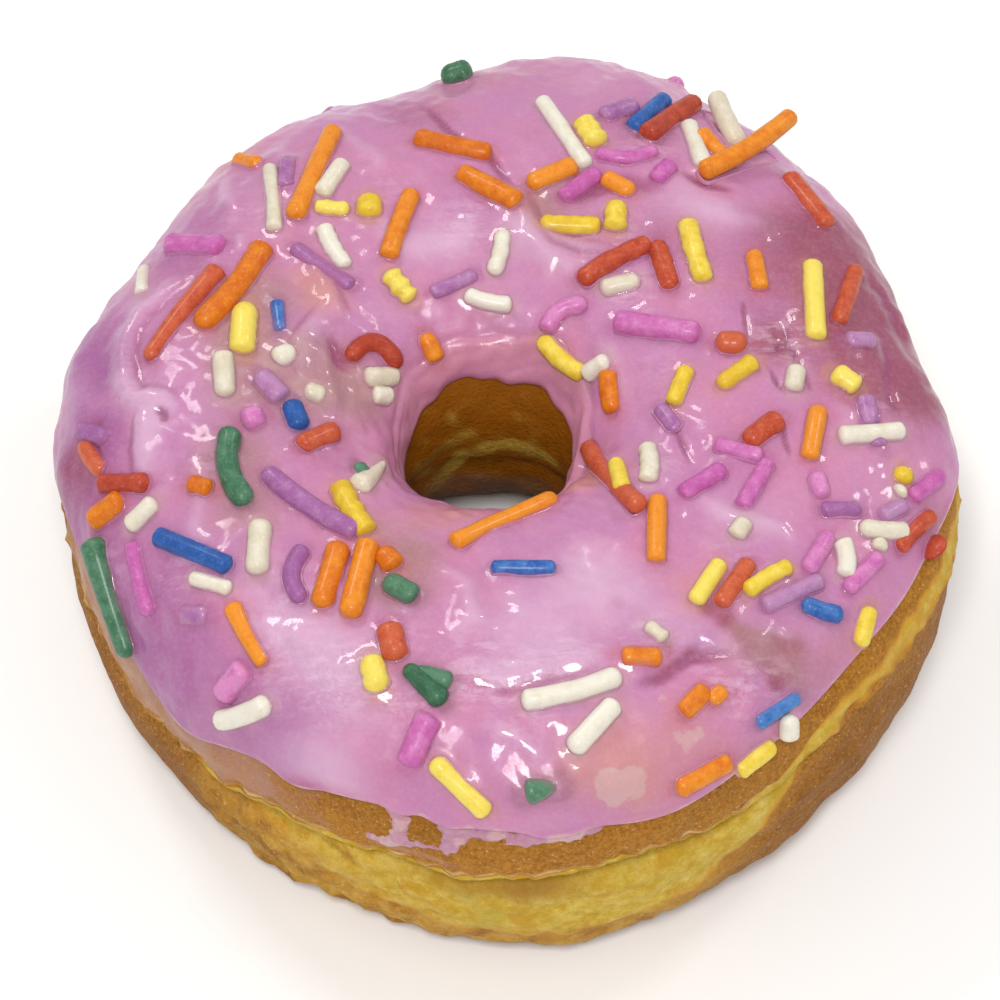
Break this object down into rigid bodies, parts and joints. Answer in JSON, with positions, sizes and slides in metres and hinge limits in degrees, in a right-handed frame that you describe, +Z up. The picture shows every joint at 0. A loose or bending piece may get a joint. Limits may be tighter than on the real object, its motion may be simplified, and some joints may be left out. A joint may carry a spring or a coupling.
{
  "type": "sprinkle frosted doughnut",
  "caption": "Yeast-raised ring doughnut: fried dough with a lip round its side and an off-centre oval hole, coated on top with icing that runs over the rim.",
  "frame": {"origin": "on the surface the doughnut rests on, under the middle of its outline", "axes": "+Z up; -Y is the front, where the side of the dough shows most in the picture; +X is to the right of it"},
  "size_m": [0.0898, 0.0969, 0.0355],
  "materials": {
    "fried_crust": null,
    "icing": null
  },
  "bodies": {
    "root": {"dough_ring": "fried_crust", "icing": "icing"}
  },
  "joints": []
}
